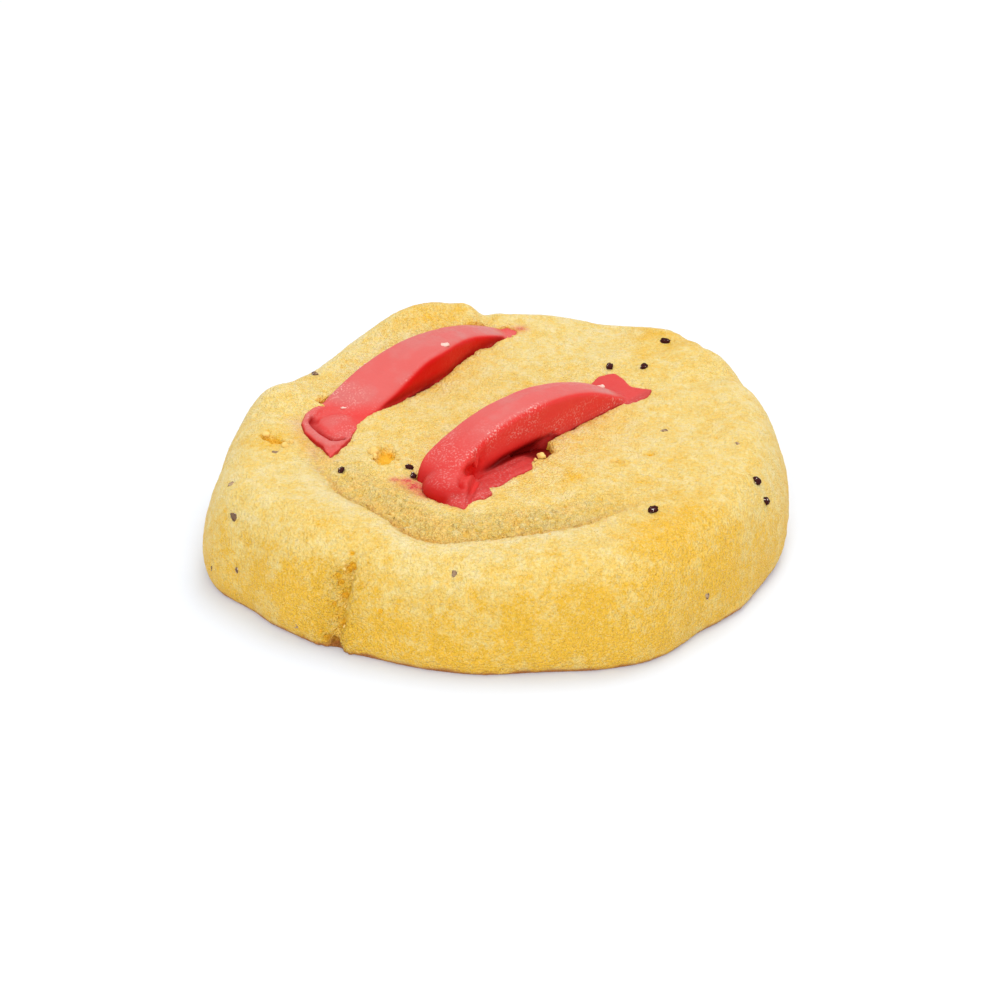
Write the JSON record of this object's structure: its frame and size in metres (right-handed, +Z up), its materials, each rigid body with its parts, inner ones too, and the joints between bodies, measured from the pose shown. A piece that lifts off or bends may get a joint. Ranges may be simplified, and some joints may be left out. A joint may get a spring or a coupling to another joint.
{
  "type": "strawberry cookie",
  "caption": "Thick round baked cookie with an uneven raised rim, arched strawberry pieces set into its top and scattered poppy seeds.",
  "frame": {"origin": "on the ground, below the middle of the cookie's box", "axes": "+Z up through the cookie, +X to the right of the pictured view, +Y away from the viewer"},
  "size_m": [0.0698, 0.0704, 0.0188],
  "materials": {
    "baked_dough": "matt, finely grained, golden where it browned",
    "strawberry_red": "satin, slightly grainy on the broad faces",
    "poppy_seed": "matt, dark and pitted"
  },
  "bodies": {
    "root": {"dough": "baked_dough", "strawberry_rear": "strawberry_red", "strawberry_front": "strawberry_red"}
  },
  "joints": []
}
